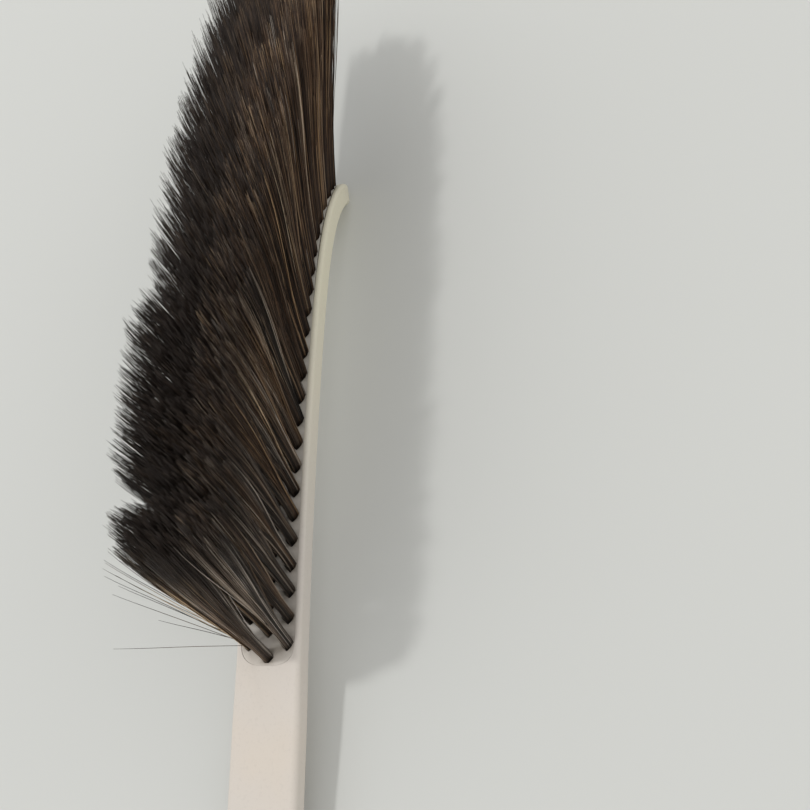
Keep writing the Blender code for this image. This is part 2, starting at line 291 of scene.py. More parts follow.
# Course of a hair: where it opens from the rod and closes to its lock, its bow and its wave.
# The wave's phase from root to tip is in radians. Its height grows over WAVE_RISE.
OPENING_RANGE = (0.10, 1.06)
OPENING_POWER = 1.1
GATHERING_RANGE = (0.38, 1.02)
BOW_POWER = 1.4
WAVE_PHASE = 4.5
WAVE_HEIGHT = 0.00022
WAVE_RISE = (0.0045, 0.05)

# Tone of a hair, from black to pale, on a grid of strands over the tuft's section
MEAN_TONE = 0.39
TUFT_TONE_SCATTER = 0.05
HAIR_TONE_SCATTER = 0.07
LOCK_TONE_SCATTER = 0.06
STRAND_TONE_SCATTER = 0.22
STRAND_GRID = 24
STRANDS_PER_RADIUS = 10
STRAND_REACH = 1.2
# Painted highlight streaks: the share above which a strand is paler, and by how much
HIGHLIGHT_STRAND_ABOVE = 0.94
HIGHLIGHT_STRAND_TONE = 0.30
HEAD_DARKENING = 0.06
HEAD_DARKENING_S = (0.01, 0.09)
# Warmth of a hair, from grey to brown
WARMTH_S = (0.0, 0.08, 0.16)
WARMTHS = (0.38, 0.70, 0.95)
LOCK_WARMTH_SCATTER = 0.25
# The golden edge of the far row's first tuft
GOLDEN_TUFT = 2
GOLDEN_BELOW_U = -0.5
GOLDEN_TONE = 0.22
# How soon the painted shade of the tips starts: sooner in the far row, later towards the curl
TIP_SHADE_PACE = 0.93
TIP_SHADE_SIDE = 0.11
TIP_SHADE_CURL = 0.11
TIP_SHADE_CURL_SIDE = 0.06
TIP_SHADE_S = (0.05, 0.16)

# Where the hairs are eased in to stay in the frame's box: axis, way, start and room
BOX_LIMITS = (
    (0, 1, 0.2190, 0.0040),
    (1, 1, 0.0200, 0.0042),
    (1, -1, 0.0205, 0.0040),
    (2, 1, 0.0910, 0.0034),
)
GATHER_BATCH = 2000

# Bake map: shares of a hair's cell that its sides and its two end caps take
SIDE_MARGIN = 0.08
SIDES_START = 0.06
SIDES_HEIGHT = 0.88
ROOT_CAP = ((0.30, 0.005), (0.70, 0.005), (0.50, 0.045))
TIP_CAP = ((0.30, 0.955), (0.70, 0.955), (0.50, 0.995))

# Floor and light
FLOOR_HALF = 4
FLOOR_ROUGHNESS = 0.9
FLOOR_SPECULAR = 0.1
FLOOR_CLOUD_SHADE = 0.985
SKY_STRENGTH = 0.85
LAMP_SIZE = 0.28
LAMP_ENERGY = 39.2
LAMP_TARGET = (0.03, 0.0, 0.02)
LAMP_WAY = (0.18, 0.31, 0.90)
LAMP_DISTANCE = 4.0


def bend_angle(s):
    share = np.maximum(s, 0.0) / FIELD_LENGTH
    return np.radians(LONG_BEND * share + TIP_BEND * share**TIP_BEND_POWER)


SPINE_S = np.linspace(0.0, TIP_END, SPINE_SAMPLES + 1)
SPINE_STEP = SPINE_S[1]
SPINE_ANGLES = bend_angle(SPINE_S[1:] - SPINE_STEP / 2)
SPINE_X = np.concatenate(([0.0], np.cumsum(np.cos(SPINE_ANGLES)) * SPINE_STEP))
SPINE_Z = -np.concatenate(([0.0], np.cumsum(np.sin(SPINE_ANGLES)) * SPINE_STEP))


def bend(points):
    """Points (s, y, n) of the straight brush on the curled one."""
    s, y, n = np.asarray(points, dtype=float).T
    angle = bend_angle(s)
    x = np.minimum(s, 0.0) + np.interp(s, SPINE_S, SPINE_X) + n * np.sin(angle)
    z = np.interp(s, SPINE_S, SPINE_Z) + n * np.cos(angle)
    return np.column_stack((x, y, z))


def lay(points):
    """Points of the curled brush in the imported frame."""
    turn = np.array(BRUSH.to_3x3())
    return points @ turn.T + np.array(BRUSH.translation)


def smooth(value, low, high):
    """Rises from 0 at low to 1 at high, with soft ends."""
    share = np.clip((value - low) / (high - low), 0.0, 1.0)
    return share * share * (3.0 - 2.0 * share)


# Materials


def new_material(name):
    material = bpy.data.materials.new(name)
    material.use_nodes = True
    tree = material.node_tree
    return material, tree, tree.nodes["Principled BSDF"]


def add_node(tree, kind, **values):
    node = tree.nodes.new(kind)
    for key, value in values.items():
        setattr(node, key, value)
    return node


def add_noise(tree, kind, coordinates):
    scale, detail = kind
    noise = add_node(tree, "ShaderNodeTexNoise")
    noise.inputs["Scale"].default_value = scale
    noise.inputs["Detail"].default_value = detail
    tree.links.new(coordinates, noise.inputs["Vector"])
    return noise.outputs["Fac"]


def add_ramp(tree, factor, stops):
    ramp = add_node(tree, "ShaderNodeValToRGB")
    elements = ramp.color_ramp.elements
    while len(elements) < len(stops):
        elements.new(1.0)
    for element, (place, colour) in zip(elements, stops):
        element.position = place
        element.color = (*colour, 1.0)
    tree.links.new(factor, ramp.inputs["Fac"])
    return ramp.outputs["Color"]


def add_range(tree, value, ends, new_ends):
    node = add_node(tree, "ShaderNodeMapRange")
    keys = ("From Min", "From Max", "To Min", "To Max")
    for key, number in zip(keys, (*ends, *new_ends)):
        node.inputs[key].default_value = number
    tree.links.new(value, node.inputs["Value"])
    return node.outputs["Result"]


def add_mix(tree, blend_type, factor, a, b):
    node = add_node(tree, "ShaderNodeMix", data_type="RGBA", blend_type=blend_type)
    for socket, value in ((node.inputs[0], factor), (node.inputs[6], a), (node.inputs[7], b)):
        if isinstance(value, bpy.types.NodeSocket):
            tree.links.new(value, socket)
        elif isinstance(value, tuple):
            socket.default_value = (*value, 1.0)
        else:
            socket.default_value = value
    return node.outputs[2]


def add_bump(tree, height, strength, distance):
    bump = add_node(tree, "ShaderNodeBump")
    bump.inputs["Strength"].default_value = strength
    bump.inputs["Distance"].default_value = distance
    tree.links.new(height, bump.inputs["Height"])
    return bump


def add_attribute(tree, name):
    return add_node(tree, "ShaderNodeAttribute", attribute_name=name).outputs["Fac"]


def grey(level):
    return (level, level, level)


def tinted(colour, tint):
    return tuple(part * share for part, share in zip(colour, tint))


def plastic(name, colour, aged, roughness, shade_attribute=None):
    """Moulded plastic: faint clouding, yellowing towards the tip, uneven gloss, a fine grain."""
    material, tree, shader = new_material(name)
    place = add_node(tree, "ShaderNodeTexCoord").outputs["Object"]
    cloud = add_noise(tree, CLOUDS, place)
    cool, warm = tinted(colour, COOL_TINT), tinted(colour, WARM_TINT)
    tint = add_ramp(tree, cloud, ((0.30, cool), (0.50, colour), (0.72, warm)))
    speck = add_noise(tree, SPECKS, place)
    speckle = add_ramp(tree, speck, ((0.30, grey(SPECK_SHADE)), (0.45, grey(1.0))))
    x = add_node(tree, "ShaderNodeSeparateXYZ")
    tree.links.new(place, x.inputs[0])
    age = add_range(tree, x.outputs["X"], AGING_X, (0.0, 1.0))
    tint = add_mix(tree, "MIX", age, tint, aged)
    # Grime and painted shade, multiplied in by the given attribute
    if shade_attribute:
        tint = add_mix(tree, "MULTIPLY", add_attribute(tree, shade_attribute), tint, GRIME_AND_SHADE)
    tint = add_mix(tree, "MULTIPLY", SPECK_SHARE, tint, speckle)
    tree.links.new(tint, shader.inputs["Base Color"])
    gloss = add_noise(tree, GLOSS, place)
    swing = (roughness - GLOSS_SWING, roughness + GLOSS_SWING)
    tree.links.new(add_range(tree, gloss, GLOSS_RANGE, swing), shader.inputs["Roughness"])
    grain = add_bump(tree, add_noise(tree, GRAIN, place), *GRAIN_BUMP)
    swell = add_bump(tree, add_noise(tree, SWELL, place), *SWELL_BUMP)
    tree.links.new(grain.outputs["Normal"], swell.inputs["Normal"])
    tree.links.new(swell.outputs["Normal"], shader.inputs["Normal"])
    shader.inputs["Specular IOR Level"].default_value = PLASTIC_SPECULAR
    return material


def bristle_material():
    """Filaments between grey-brown and golden brown, with painted shade at their feet and
    near-black painted shade over their tips.
    """
    material, tree, shader = new_material("bristle_brown")
    tone, warmth, along = (add_attribute(tree, name) for name in ("tone", "warmth", "along"))
    greys = add_ramp(tree, tone, GREY_STRANDS)
    browns = add_ramp(tree, tone, BROWN_STRANDS)
    colour = add_mix(tree, "MIX", warmth, greys, browns)
    place = add_node(tree, "ShaderNodeTexCoord").outputs["Object"]
    patch = add_noise(tree, PATCHES, place)
    patches = add_ramp(tree, patch, ((0.32, grey(PATCH_SHADE)), (0.68, grey(1.0))))
    colour = add_mix(tree, "MULTIPLY", PATCH_SHARE, colour, patches)
    # Painted shade at the feet of the hairs
    foot = add_ramp(tree, along, [(share, grey(shade)) for share, shade in FOOT_SHADES])
    colour = add_mix(tree, "MULTIPLY", 1.0, colour, foot)
    # Painted shade over the tips, to near black
    tip_shade = add_range(tree, along, TIP_SHADE_RANGE, (0.0, TIP_SHADE_SHARE))
    colour = add_mix(tree, "MIX", tip_shade, colour, TIP_SHADE_BROWN)
    tree.links.new(colour, shader.inputs["Base Color"])
    rough = add_range(tree, patch, GLOSS_RANGE, BRISTLE_ROUGHNESS)
    tree.links.new(rough, shader.inputs["Roughness"])
    shader.inputs["Specular IOR Level"].default_value = BRISTLE_SPECULAR
    return material


# Moulded pieces


def narrowing(s):
    return HEAD_NARROWING * np.clip(s / FIELD_LENGTH, 0.0, 1.0)


def body_half_width(s):
    share = smooth(s, -NECK_LENGTH, 0.0)
    return HANDLE_WIDTH / 2 + (HEAD_HALF_WIDTH - HANDLE_WIDTH / 2) * share - narrowing(s)


def plate_half_width(s):
    return PLATE_HALF_WIDTH - narrowing(s)


def edge_radius(s):
    """Rounding of the body's long edges: softer on the handle than on the head's rim."""
    return np.interp(s, (-NECK_LENGTH, 0.0), (HANDLE_EDGE_RADIUS, HEAD_EDGE_RADIUS))


def joint_gap(s):
    """Gap between plate and rim."""
    return np.interp(s, JOINT_GAP_S, JOINT_GAPS)


def joint_bevel(s):
    """Width of the bevels along the joint."""
    return np.interp(s, JOINT_BEVEL_S, JOINT_BEVELS)


def plate_top(s):
    """Height of the plate's face, which rises flush with the rim at the handle's end."""
    return np.interp(s, FLUSH_S, (0.0, PLATE_TOP))


def even_out(points, step):
    """The same open line with points at even distances, closer together at its ends."""
    run = np.concatenate(([0.0], np.cumsum(np.hypot(*np.diff(points, axis=0).T))))
    total = run[-1]
    share = np.linspace(0.0, 1.0, int(total / step))
    places = (share - POINT_CROWDING * np.sin(FULL_TURN * share) / math.pi) * total
    s, y = points.T
    return np.column_stack((np.interp(places, run, s), np.interp(places, run, y)))


def closed_outline(start, start_round, end, end_round, half_width, end_points, step):
    """Plan outline with rounded ends, as an array of (s, y) all the way round."""
    power = 2 / END_ROUNDING_POWER
    angle = np.linspace(0.0, math.pi / 2, end_points)
    shrink = np.abs(np.cos(angle)) ** power
    rise = np.sin(angle) ** power
    s_start = start + start_round * (1.0 - shrink)
    s_end = end - end_round * (1.0 - shrink)
    middle_count = int((s_end[-1] - s_start[-1]) / step) + 1
    middle = np.linspace(s_start[-1], s_end[-1], middle_count)[1:-1]
    s = np.concatenate((s_start, middle, s_end[::-1]))
    y = np.concatenate(
        (half_width(s_start) * rise, half_width(middle), (half_width(s_end) * rise)[::-1])
    )
    y[0] = y[-1] = 0.0
    upper = even_out(np.column_stack((s, y)), step)
    lower = upper[1:-1][::-1] * (1.0, -1.0)
    return np.concatenate((upper, lower))


def inward(outline):
    """Unit vectors that point into a closed outline that runs clockwise in (s, y)."""
    edge = np.roll(outline, -1, axis=0) - outline
    edge /= np.linalg.norm(edge, axis=1)[:, None]
    normal = np.column_stack((edge[:, 1], -edge[:, 0]))
    mixed = normal + np.roll(normal, 1, axis=0)
    return mixed / np.linalg.norm(mixed, axis=1)[:, None]


def inside(points, loop):
    """Which points lie inside a closed loop, by counting crossings."""
    x, y = points.T
    hit = np.zeros(len(points), dtype=bool)
    for (x0, y0), (x1, y1) in zip(loop, np.roll(loop, -1, axis=0)):
        if y0 == y1:
            continue
        crosses = (y0 > y) != (y1 > y)
        hit ^= crosses & (x < (x1 - x0) * (y - y0) / (y1 - y0) + x0)
    return hit


def flat_places(verts):
    return np.array([tuple(vert.co.xy) for vert in verts])


class Shape:
    """A bmesh that is made from rings of (s, y, n) points and filled flat faces."""

    def __init__(self):
        self.mesh = bmesh.new()

    def ring(self, flat, heights):
        heights = np.broadcast_to(heights, len(flat))
        return [self.mesh.verts.new((s, y, n)) for (s, y), n in zip(flat, heights)]

    def skin(self, rings):
        for low, high in zip(rings, rings[1:]):
            for index in range(len(low)):
                after = (index + 1) % len(low)
                self.mesh.faces.new((low[index], low[after], high[after], high[index]))

    def fill(self, loops):
        """Closes the flat region inside the first loop and outside the others."""
        verts = [vert for loop in loops for vert in loop]
        flat = [Vector((vert.co.x, vert.co.y)) for vert in verts]
        edges = []
        first = 0
        for loop in loops:
            count = len(loop)
            edges += [(first + i, first + (i + 1) % count) for i in range(count)]
            first += count
        made = delaunay_2d_cdt(flat, edges, [], 0, FILL_SNAP)
        source = [ids[0] for ids in made[3]]
        faces = np.array(made[2])
        centres = np.array([tuple(point) for point in made[0]])[faces].mean(axis=1)
        keep = inside(centres, flat_places(loops[0]))
        for loop in loops[1:]:
            keep &= ~inside(centres, flat_places(loop))
        for face in faces[keep]:
            self.mesh.faces.new([verts[source[corner]] for corner in face])

    def finish(self, name, material, node, shade=None):
        """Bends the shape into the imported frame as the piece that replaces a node."""
        mesh = self.mesh
        for s in STATIONS:
            everything = mesh.verts[:] + mesh.edges[:] + mesh.faces[:]
            bmesh.ops.bisect_plane(
                mesh,
                geom=everything,
                plane_co=(s, 0.0, 0.0),
                plane_no=(1.0, 0.0, 0.0),
                dist=STATION_SNAP,
            )
        bmesh.ops.recalc_face_normals(mesh, faces=mesh.faces)
        data = bpy.data.meshes.new(name)
        mesh.to_mesh(data)
        mesh.free()
        flat = np.empty(len(data.vertices) * 3)
        data.vertices.foreach_get("co", flat)
        flat = flat.reshape(-1, 3)
        if shade:
            layer = data.attributes.new("shade", "FLOAT", "POINT")
            layer.data.foreach_set("value", shade(flat))
        data.vertices.foreach_set("co", lay(bend(flat)).ravel())
        data.shade_smooth()
        data.set_sharp_from_angle(angle=math.radians(SHARP_ANGLE))
        data.materials.append(material)
        made = bpy.data.objects.new(name, data)
        bpy.context.collection.objects.link(made)
        step = made.modifiers.new("even_normals", "WEIGHTED_NORMAL")
        step.keep_sharp = True
        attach(made, "root")
        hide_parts(node)


def slot_outline(grow):
    """Plan outline of the hanging slot, let out all round."""
    radius = SLOT_RADIUS + grow
    angle = np.linspace(-math.pi / 2, math.pi / 2, SLOT_END_POINTS)
    right = np.column_stack((SLOT_FAR + radius * np.cos(angle), radius * np.sin(angle)))
    left = np.column_stack((SLOT_NEAR - radius * np.cos(angle), -radius * np.sin(angle)))
    return np.concatenate((right, left))


def edge_rings(shape, outline, radius):
    """Rings from the body's back over its rounded edges to its bristle face."""
    into = inward(outline)
    rings = []
    quarter = np.radians(np.linspace(90, 0, EDGE_STEPS))
    for angle in quarter:
        inset = (radius * (1.0 - math.cos(angle)))[:, None]
        height = -BODY_THICKNESS + radius * (1.0 - math.sin(angle))
        rings.append(shape.ring(outline + into * inset, height))
    for angle in quarter[::-1]:
        inset = (radius * (1.0 - math.cos(angle)))[:, None]
        rings.append(shape.ring(outline + into * inset, -radius * (1.0 - math.sin(angle))))
    return rings


def slot_rings(shape):
    """Rings from the bristle face down through the hanging slot, with its rounded lips."""
    rings = []
    quarter = np.radians(np.linspace(90, 0, SLOT_LIP_STEPS))
    for angle in quarter:
        outline = slot_outline(SLOT_LIP * (1.0 - math.cos(angle)))
        rings.append(shape.ring(outline, -SLOT_LIP * (1.0 - math.sin(angle))))
    for angle in quarter[::-1]:
        outline = slot_outline(SLOT_LIP * (1.0 - math.cos(angle)))
        height = -BODY_THICKNESS + SLOT_LIP * (1.0 - math.sin(angle))
        rings.append(shape.ring(outline, height))
    return rings


def make_body():
    """Handle and head in one moulding, with the slot and the pocket for the plate."""
    outline = closed_outline(
        -HANDLE_LENGTH,
        HANDLE_END_ROUND,
        TIP_END,
        TIP_TAPER_LENGTH,
        body_half_width,
        BODY_END_POINTS,
        BODY_POINT_STEP,
    )
    shape = Shape()
    rings = edge_rings(shape, outline, edge_radius(outline[:, 0]))
    shape.skin(rings)
    slot = slot_rings(shape)
    shape.skin(slot)
    pocket = closed_outline(
        PLATE_START - FIT_GAP,
        PLATE_START_ROUND,
        PLATE_END + FIT_GAP,
        PLATE_TAPER_LENGTH,
        lambda s: plate_half_width(s) + FIT_GAP,
        PLATE_END_POINTS,
        PLATE_POINT_STEP,
    )
    bevel = joint_bevel(pocket[:, 0])
    walls = [
        shape.ring(pocket - inward(pocket) * bevel[:, None], 0.0),
        shape.ring(pocket, -bevel),
        shape.ring(pocket, POCKET_FLOOR),
    ]
    shape.skin(walls)
    shape.fill([walls[-1]])
    shape.fill([rings[-1], walls[0], slot[0]])
    shape.fill([rings[0], slot[-1]])
    material = plastic("body_cream", CREAM, AGED_CREAM, BODY_ROUGHNESS)
    shape.finish("body_moulding", material, "brush_body")


def row_s(row):
    """Place of a row's outer tufts. Rows stand closer together towards the tip."""
    share = row / (ROW_COUNT - 1)
    return row * TUFT_PITCH - TIP_CROWDING * share**TIP_CROWDING_POWER


def middle_s(row):
    """Place of a row's middle tuft, half way back to the row before."""
    if row == 0:
        return -TUFT_PITCH / 2
    return (row_s(row - 1) + row_s(row)) / 2


PLATE_OUTLINE = closed_outline(
    PLATE_START,
    PLATE_START_ROUND,
    PLATE_END,
    PLATE_TAPER_LENGTH,
    plate_half_width,
    PLATE_END_POINTS,
    PLATE_POINT_STEP,
)
PLATE_CORE = PLATE_OUTLINE + inward(PLATE_OUTLINE) * HOLE_BORDER


def outer_y(s):
    """Distance of the outer tufts from the centre line, closer together at the tip."""
    upper = PLATE_OUTLINE[PLATE_OUTLINE[:, 1] >= 0.0]
    upper = upper[np.argsort(upper[:, 0])]
    edge = np.interp(s, upper[:, 0], upper[:, 1])
    return min(edge - TUFT_RADIUS - TUFT_BORDER, ROW_SPACING)


def tuft_places():
    """All tufts as (row, s, y)."""
    places = []
    for row in range(ROW_COUNT):
        s = row_s(row)
        y = outer_y(s)
        places += [(row, s, -y), (row, middle_s(row), 0.0), (row, s, y)]
    places.append((ROW_COUNT - 1, row_s(ROW_COUNT - 1) + TIP_TUFT_REACH, 0.0))
    return places


TUFTS = tuft_places()


def lean_of(s):
    """Lean of the tufts from the handle's normal, in degrees."""
    share = np.clip(s / FIELD_LENGTH, 0.0, 1.0)
    return FIRST_LEAN + (TIP_LEAN - FIRST_LEAN) * share**LEAN_POWER


def squared(angle):
    """Reach of a tuft's rounded square section, which has its corners along and across."""
    turned = angle - math.pi / 4
    total = np.abs(np.cos(turned)) ** SQUARE_POWER + np.abs(np.sin(turned)) ** SQUARE_POWER
    return SQUARE_REACH_SHARE * total ** (-1 / SQUARE_POWER)


def hole_outline(s, y, grow):
    """Oblique cut of a leaning tuft with the plate's top, kept clear of the plate's edge."""
    tilt = math.radians(lean_of(s)) - float(bend_angle(s))
    half_long = TUFT_RADIUS / math.cos(tilt) + grow
    half_wide = TUFT_RADIUS + grow
    angle = np.linspace(0.0, FULL_TURN, HOLE_POINTS, endpoint=False)
    reach = np.column_stack((half_long * np.cos(angle), half_wide * np.sin(angle)))
    reach *= squared(angle)[:, None]
    for _ in range(HOLE_SHRINK_STEPS):
        outside = ~inside(reach * HOLE_CLEARANCE_SHARE + (s, y), PLATE_CORE)
        reach[outside] *= HOLE_SHRINK_SHARE
    return reach + (s, y)


def plate_shade(flat):
    """How dark the plate is painted at each point: painted shade down its sides and inside the
    holes, grime and painted shade round the holes.
    """
    nearest = np.full(len(flat), np.inf)
    for _, s, y in TUFTS:
        away = np.hypot(flat[:, 0] - s, flat[:, 1] - y) - TUFT_RADIUS
        nearest = np.minimum(nearest, away)
    away = np.maximum(nearest, 0.0)
    # Grime and painted shade round the holes
    holes = sum(share * np.exp(-away / reach) for share, reach in HOLE_GRIME_AND_SHADE)
    # Painted shade down the sides of the joint and inside the holes
    depth = (plate_top(flat[:, 0]) - flat[:, 2]) / SIDE_SHADE_DEPTH
    depth *= np.clip(flat[:, 0] / SIDE_SHADE_S, 0.0, 1.0)
    return np.clip(np.maximum(holes, depth), 0.0, 1.0)


def make_plate():
    """The inset plate, with a hole round the foot of each tuft."""
    shape = Shape()
    into = inward(PLATE_OUTLINE)
    gap = joint_gap(PLATE_OUTLINE[:, 0])
    edge = PLATE_OUTLINE - into * (FIT_GAP - gap)[:, None]
    bevel = joint_bevel(PLATE_OUTLINE[:, 0])
    middle = bevel * BEVEL_MIDDLE_SHARE
    top = plate_top(PLATE_OUTLINE[:, 0])
    sides = [
        shape.ring(edge, PLATE_BOTTOM),
        shape.ring(edge, top - bevel),
        shape.ring(edge + into * middle[:, None], top - middle),
        shape.ring(edge + into * bevel[:, None], top),
    ]
    shape.skin(sides)
    holes = []
    for _, s, y in TUFTS:
        rings = []
        for grow, depth in HOLE_RINGS:
            outline = hole_outline(s, y, grow)
            rings.append(shape.ring(outline, plate_top(outline[:, 0]) - depth))
        shape.skin(rings)
        shape.mesh.faces.new(rings[-1])
        holes.append(rings[0])
    shape.fill([sides[0]])
    shape.fill([sides[-1], *holes])
    material = plastic("plate_cream", PLATE_CREAM, AGED_PLATE, PLATE_ROUGHNESS, "shade")
    shape.finish("plate_moulding", material, "tuft_plate", plate_shade)


# Bristles


def bristle_length(s):
    share = np.clip(s / FIELD_LENGTH, 0.0, 1.0)
    return BRISTLE_LENGTH + (TIP_BRISTLE_LENGTH - BRISTLE_LENGTH) * share**BRISTLE_LENGTH_POWER


def gather(tip, outward, rng, count):
    """For each hair the nearest of some randomly picked ones, and the way to it at the tip."""
    seeds = rng.choice(len(tip), count, replace=False)
    flat = tip.astype(np.float32)
    nearest = np.empty(len(tip), dtype=int)
    for first in range(0, len(tip), GATHER_BATCH):
        part = flat[first : first + GATHER_BATCH]
        distance = ((part[:, None, :] - flat[seeds][None, :, :]) ** 2).sum(axis=2)
        nearest[first : first + GATHER_BATCH] = distance.argmin(axis=1)
    way = tip[seeds[nearest]] - tip
    way -= outward * (way * outward).sum(axis=1)[:, None]
    away = np.linalg.norm(way, axis=1)
    widest = np.zeros(count)
    np.maximum.at(widest, nearest, away)
    return nearest, way, away / np.maximum(widest[nearest], 1e-6)


class Hairs:
    """All hairs of the brush, in its own frame, as arrays with an entry for each hair.

    The steps run in the order in which they stand here, as most of them draw random numbers.
    """

    def __init__(self):
        self.rng = np.random.default_rng(SEED)
        self.tuft_count = len(TUFTS)
        self.of_tuft = np.repeat(np.arange(self.tuft_count), HAIRS_PER_TUFT)
        self.count = len(self.of_tuft)
        row, s, y = (np.array(column)[self.of_tuft] for column in zip(*TUFTS))
        self.row, self.s, self.y = row, s, y
        self.side = y / ROW_SPACING
        self.scatter_roots()
        self.aim()
        self.plant()
        self.spread_tips()
        self.gather_locks()
        self.draw_paths()
        self.colour()

    def scatter_roots(self):
        """Place of each root in its tuft, as shares u and v of the radius along and across."""
        rng = self.rng
        self.tuft_tone = rng.normal(0.0, TUFT_TONE_SCATTER, self.tuft_count)
        turn = rng.uniform(0.0, FULL_TURN, self.tuft_count)
        self.tuft_lean = rng.normal(0.0, TUFT_LEAN_SCATTER, self.tuft_count)
        self.tuft_splay = rng.normal(0.0, TUFT_SPLAY_SCATTER, self.tuft_count)
        index = np.tile(np.arange(HAIRS_PER_TUFT), self.tuft_count)
        reach = np.sqrt((index + 0.5) / HAIRS_PER_TUFT)
        angle = index * GOLDEN_TURN + turn[self.of_tuft]
        self.u = reach * np.cos(angle) + rng.normal(0.0, ROOT_SCATTER, self.count)
        self.v = reach * np.sin(angle) + rng.normal(0.0, ROOT_SCATTER, self.count)

    def aim(self):
        """Directions and length of each hair, and how far its tip bows over and sideways."""
        s, side = self.s, self.side
        lean = lean_of(s) + self.tuft_lean[self.of_tuft]
        splay = np.interp(s, SPLAY_S, ROOT_TURN) + np.interp(s, SPLAY_S, ROOT_FAN) * side
        end_splay = np.interp(s, SPLAY_S, TIP_TURN) + np.interp(s, SPLAY_S, TIP_FAN) * side
        self.sway = np.radians(end_splay - splay)
        splay += self.tuft_splay[self.of_tuft]
        s_lock = s + PARTING_REACH * self.u
        far = 0.5 + 0.5 * side
        nod = np.interp(s_lock, CALM_S, CALM_LEAN) + far * np.interp(s_lock, PART_S, PART_LEAN)
        self.nod = np.radians(nod)
        parting = far * np.interp(s_lock, PART_S, PART_LENGTH)
        self.length = (np.interp(s_lock, CALM_S, CALM_LENGTH) + parting) * bristle_length(s)
        self.loose = np.zeros(self.count, dtype=bool)
        for order, (tuft, hair_lean, hair_splay, share) in enumerate(LOOSE_HAIRS):
            hair = tuft * HAIRS_PER_TUFT + FIRST_LOOSE_HAIR + LOOSE_HAIR_STEP * order
            lean[hair], splay[hair] = hair_lean, hair_splay
            self.length[hair] = share * BRISTLE_LENGTH
            self.loose[hair] = True
        lean, splay = np.radians(lean), np.radians(splay)
        zero = np.zeros(self.count)
        upright = np.column_stack((np.sin(lean), zero, np.cos(lean)))
        sideways = np.array([0.0, 1.0, 0.0])
        cosine, sine = np.cos(splay)[:, None], np.sin(splay)[:, None]
        self.along = np.column_stack((np.cos(lean), zero, -np.sin(lean)))
        self.outward = upright * cosine + sideways * sine
        self.across = sideways * cosine - upright * sine

    def plant(self):
        """Foot of each hair, below the plate's face in the hole of its tuft."""
        face = bend_angle(self.s)
        normal = np.column_stack((np.sin(face), np.zeros(self.count), np.cos(face)))
        height = np.full(self.count, PLATE_TOP - ROOT_DEPTH)
        middle = bend(np.column_stack((self.s, self.y, height)))
        reach = TUFT_RADIUS * squared(np.arctan2(self.v, self.u))
        corner = self.along * (self.u * reach)[:, None] + self.across * (self.v * reach)[:, None]
        drop = (corner * normal).sum(axis=1) / (self.outward * normal).sum(axis=1)
        self.foot = middle + corner - self.outward * drop[:, None]

    def spread_tips(self):
        """How far each tip stands from its tuft's middle line, with some strays, and its bow."""
        rng, u, v = self.rng, self.u, self.v
        boxy = (u**4 + v**4 + 1e-9) ** -0.25 * np.hypot(u, v)
        spread = self.along * (np.interp(self.s, SPLAY_S, SPREAD_ALONG) * boxy * u)[:, None]
        spread += self.across * (np.interp(self.s, SPLAY_S, SPREAD_ACROSS) * boxy * v)[:, None]
        wild = rng.random(self.count) > STRAY_ABOVE
        stray = np.where(wild, rng.normal(0.0, STRAY_SCATTER, self.count), 0.0)
        stray_angle = rng.uniform(0.0, FULL_TURN, self.count)
        spread += self.along * (stray * np.cos(stray_angle))[:, None]
        spread += self.across * (stray * np.sin(stray_angle))[:, None]
        spread += self.along * rng.normal(0.0, TIP_SCATTER, self.count)[:, None]
        spread += self.across * rng.normal(0.0, TIP_SCATTER, self.count)[:, None]
        spread[self.loose] = 0.0
        bow = self.along * self.nod[:, None] + self.across * self.sway[:, None]
        bow *= self.length[:, None]
        bow[self.loose] = 0.0
        self.spread, self.bow = spread, bow

    def gather_locks(self):
        """Draws the tips together into locks, and makes their lengths ragged."""
        rng = self.rng
        tip = self.foot + self.outward * self.length[:, None] + self.spread + self.bow
        self.lock_count = LOCKS_PER_TUFT * self.tuft_count
        self.lock, lock_pull, lock_away = gather(tip, self.outward, rng, self.lock_count)
        crowd, crowd_pull, _ = gather(tip, self.outward, rng, self.tuft_count)
        self.pull = LOCK_PULL * lock_pull + CROWD_PULL * crowd_pull
        self.pull[self.loose] = 0.0
        shares = rng.normal(1.0, LOCK_LENGTH_SCATTER, self.lock_count)[self.lock]
        shares = shares * rng.normal(1.0, CROWD_LENGTH_SCATTER, self.tuft_count)[crowd]
        ragged = 1.0 - LOCK_EDGE_SHORTENING * lock_away
        ragged -= RAGGED_SHORTENING * rng.random(self.count) ** 2
        self.length = self.length * np.clip(shares, *LENGTH_SHARES) * ragged

    def draw_paths(self):
        """Centre line of each hair, with a point for each of its rings."""
        rng = self.rng
        distance = self.length[:, None] * HAIR_RINGS
        opening = smooth(HAIR_RINGS, *OPENING_RANGE) ** OPENING_POWER
        gathering = smooth(HAIR_RINGS, *GATHERING_RANGE)
        path = self.foot[:, None, :] + self.outward[:, None, :] * distance[..., None]
        path += self.spread[:, None, :] * opening[None, :, None]
        path += self.pull[:, None, :] * gathering[None, :, None]
        path += self.bow[:, None, :] * (HAIR_RINGS**BOW_POWER)[None, :, None]
        size = rng.normal(0.0, 1.0, (self.count, 2))
        phase = rng.uniform(0.0, FULL_TURN, (self.count, 2))
        for axis, direction in enumerate((self.along, self.across)):
            start = phase[:, axis, None]
            wave = np.sin(HAIR_RINGS[None, :] * WAVE_PHASE + start) - np.sin(start)
            height = WAVE_HEIGHT * size[:, axis, None] * smooth(distance, *WAVE_RISE)
            path += direction[:, None, :] * (height * wave)[..., None]
        self.path = path

